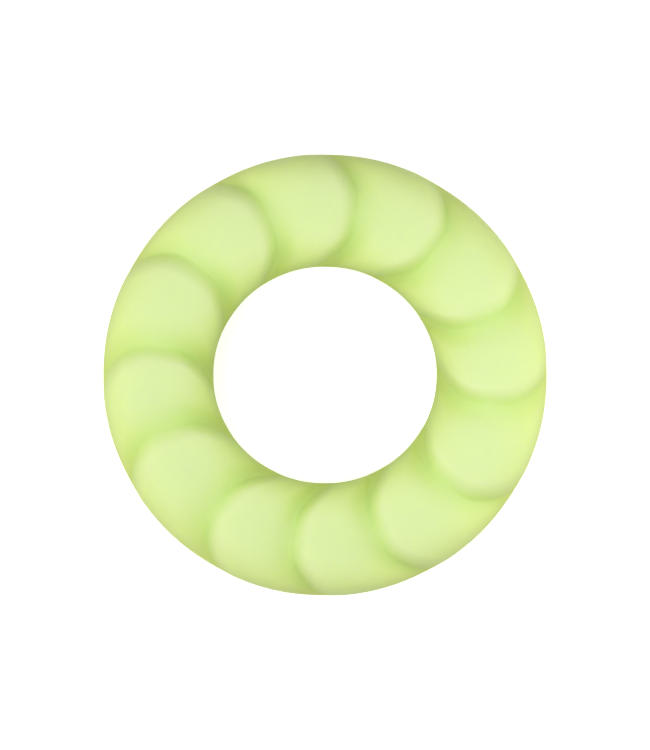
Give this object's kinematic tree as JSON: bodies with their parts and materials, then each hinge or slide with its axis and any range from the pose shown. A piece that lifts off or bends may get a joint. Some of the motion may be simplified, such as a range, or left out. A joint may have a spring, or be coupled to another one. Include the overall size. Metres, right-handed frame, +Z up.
{
  "type": "teething ring",
  "caption": "Solid soft silicone ring, very slightly oval, with twelve leaning lobes round each face and smooth inner and outer walls.",
  "frame": {"origin": "on the ring's axis, in the plane of the surface that the ring lies on", "axes": "+Z up along the ring's axis, through the grip hole; +X along the oval's longer side, which is 0.4 mm longer than the side along Y"},
  "size_m": [0.07, 0.0696, 0.019],
  "materials": {
    "silicone": "matte translucent pale lime green silicone"
  },
  "bodies": {
    "root": {"ring_body": "silicone"}
  },
  "joints": []
}
